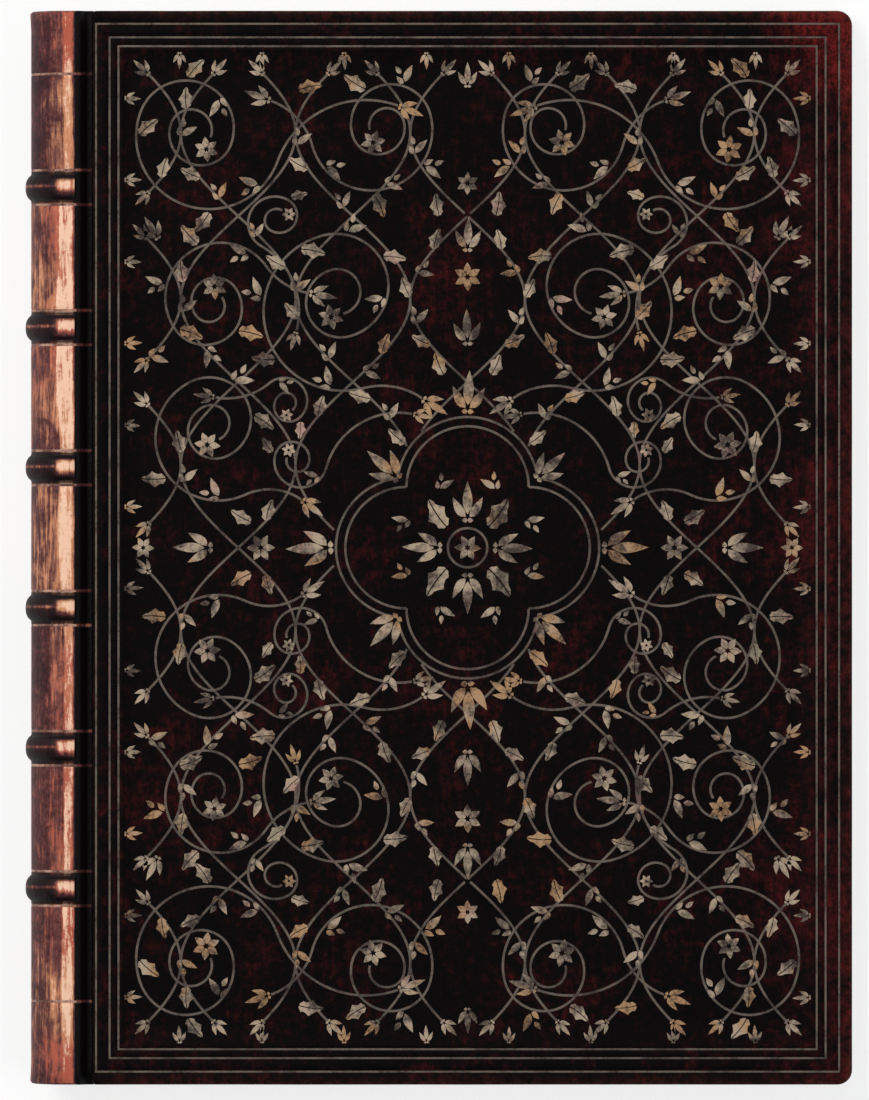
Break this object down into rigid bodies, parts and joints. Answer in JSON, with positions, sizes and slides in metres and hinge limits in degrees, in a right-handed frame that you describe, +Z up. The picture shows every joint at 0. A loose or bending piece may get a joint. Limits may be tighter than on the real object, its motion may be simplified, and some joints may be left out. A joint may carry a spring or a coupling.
{
  "type": "lined notebook",
  "caption": "Case-bound ruled notebook with hinged leather covers, raised bands on a rounded spine and gilt fillet tooling.",
  "frame": {"origin": "middle of the underside of the closed book, in the plane of the back cover's outer face", "axes": "+X from the spine to the fore-edge, +Y from tail to head, +Z up from the back cover to the front cover"},
  "size_m": [0.1774, 0.23, 0.024],
  "materials": {
    "leather": "dark mottled, waxed",
    "gilt": "worn gold foil",
    "page_paper": "matt",
    "ruling_ink": "matt print",
    "endpaper": "matt",
    "greyboard": "matt",
    "band_thread": "woven",
    "lining_cloth": "open weave"
  },
  "bodies": {
    "book_block": {"text_block": "page_paper", "first_page_ruling": "ruling_ink", "last_page_ruling": "ruling_ink", "spine_lining": "lining_cloth", "head_band": "band_thread", "tail_band": "band_thread", "front_endpaper_hinge": "endpaper", "back_endpaper_hinge": "endpaper", "spine_inlay": "greyboard", "raised_band_1": "greyboard", "raised_band_2": "greyboard", "raised_band_3": "greyboard", "raised_band_4": "greyboard", "raised_band_5": "greyboard", "raised_band_6": "greyboard", "spine_covering": "leather", "spine_fillets": "gilt"},
    "front_cover": {"front_board": "greyboard", "front_covering": "leather", "front_pastedown": "endpaper", "front_fillets": "gilt", "front_ornament": "gilt"},
    "back_cover": {"back_board": "greyboard", "back_covering": "leather", "back_pastedown": "endpaper", "back_fillets": "gilt"}
  },
  "joints": [
    {"name": "front_cover_hinge", "type": "hinge", "parent": "book_block", "child": "front_cover", "pos_m": [-0.0758, 0, 0.0241], "axis": [0, -1, 0], "range_deg": [0, 180]},
    {"name": "back_cover_hinge", "type": "hinge", "parent": "book_block", "child": "back_cover", "pos_m": [-0.0758, 0, -0.0001], "axis": [0, 1, 0], "range_deg": [0, 180]}
  ]
}
